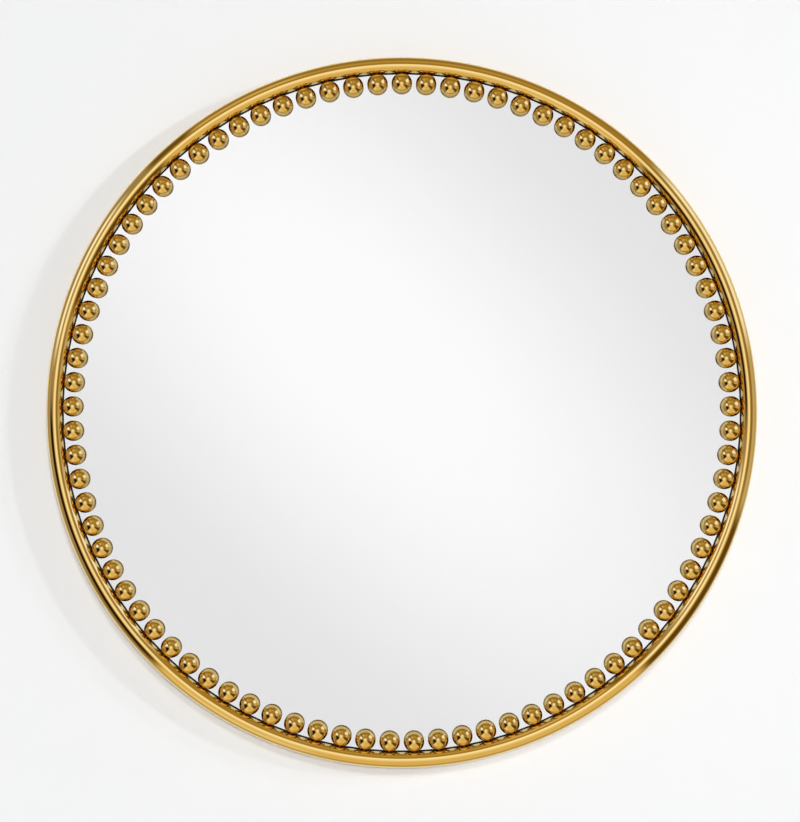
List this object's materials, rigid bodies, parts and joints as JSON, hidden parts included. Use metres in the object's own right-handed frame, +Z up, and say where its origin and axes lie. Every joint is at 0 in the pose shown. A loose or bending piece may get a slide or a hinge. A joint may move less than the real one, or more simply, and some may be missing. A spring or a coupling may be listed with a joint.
{
  "type": "round wall mirror",
  "caption": "Round wall mirror: flat glass in a rolled brass tube lined with brass balls, held from behind by turn buttons and hung from two swinging rings.",
  "frame": {"origin": "centre of the whole mirror's box, halfway between the wall and the front of the balls", "axes": "+Z up, +X to the right as the mirror is looked at, +Y towards the wall; the glass faces -Y"},
  "size_m": [0.7619, 0.041, 0.762],
  "materials": {
    "polished_brass": "mirror polished and lacquered",
    "silvered_glass": "clear float glass, silvered on its back",
    "black_rubber": "matt",
    "white_foam": "closed-cell foam tape",
    "fibreboard": "raw medium-density board",
    "plated_steel": "bright zinc",
    "grey_rubber": "soft, matt"
  },
  "bodies": {
    "root": {"rim_tube": "polished_brass", "rear_band": "polished_brass", "glazing_gasket": "black_rubber", "brass_balls": "polished_brass", "mirror_glass": "silvered_glass", "setting_blocks": "black_rubber", "foam_pads": "white_foam", "backing_board": "fibreboard", "board_lugs": "plated_steel", "button_studs": "plated_steel", "hanger_straps": "plated_steel", "hanger_screws": "plated_steel", "wall_bumpers": "grey_rubber"},
    "turn_button_1": {"turn_button_1": "plated_steel"},
    "turn_button_2": {"turn_button_2": "plated_steel"},
    "turn_button_3": {"turn_button_3": "plated_steel"},
    "turn_button_4": {"turn_button_4": "plated_steel"},
    "turn_button_5": {"turn_button_5": "plated_steel"},
    "turn_button_6": {"turn_button_6": "plated_steel"},
    "hanger_ring_left": {"hanger_ring_left": "plated_steel"},
    "hanger_ring_right": {"hanger_ring_right": "plated_steel"}
  },
  "joints": [
    {"name": "turn_button_1_turn", "type": "hinge", "parent": "root", "child": "turn_button_1", "pos_m": [0, 0.0149, 0.3675], "axis": [0, 1, 0], "range_deg": [-90, 90]},
    {"name": "turn_button_2_turn", "type": "hinge", "parent": "root", "child": "turn_button_2", "pos_m": [0.31826, 0.0149, 0.18375], "axis": [0, 1, 0], "range_deg": [-90, 90]},
    {"name": "turn_button_3_turn", "type": "hinge", "parent": "root", "child": "turn_button_3", "pos_m": [0.31826, 0.0149, -0.18375], "axis": [0, 1, 0], "range_deg": [-90, 90]},
    {"name": "turn_button_4_turn", "type": "hinge", "parent": "root", "child": "turn_button_4", "pos_m": [0, 0.0149, -0.3675], "axis": [0, 1, 0], "range_deg": [-90, 90]},
    {"name": "turn_button_5_turn", "type": "hinge", "parent": "root", "child": "turn_button_5", "pos_m": [-0.31826, 0.0149, -0.18375], "axis": [0, 1, 0], "range_deg": [-90, 90]},
    {"name": "turn_button_6_turn", "type": "hinge", "parent": "root", "child": "turn_button_6", "pos_m": [-0.31826, 0.0149, 0.18375], "axis": [0, 1, 0], "range_deg": [-90, 90]},
    {"name": "hanger_ring_left_swing", "type": "hinge", "parent": "root", "child": "hanger_ring_left", "pos_m": [-0.2, 0.01655, 0.18], "axis": [1, 0, 0], "range_deg": [0, 180]},
    {"name": "hanger_ring_right_swing", "type": "hinge", "parent": "root", "child": "hanger_ring_right", "pos_m": [0.2, 0.01655, 0.18], "axis": [1, 0, 0], "range_deg": [0, 180]}
  ]
}
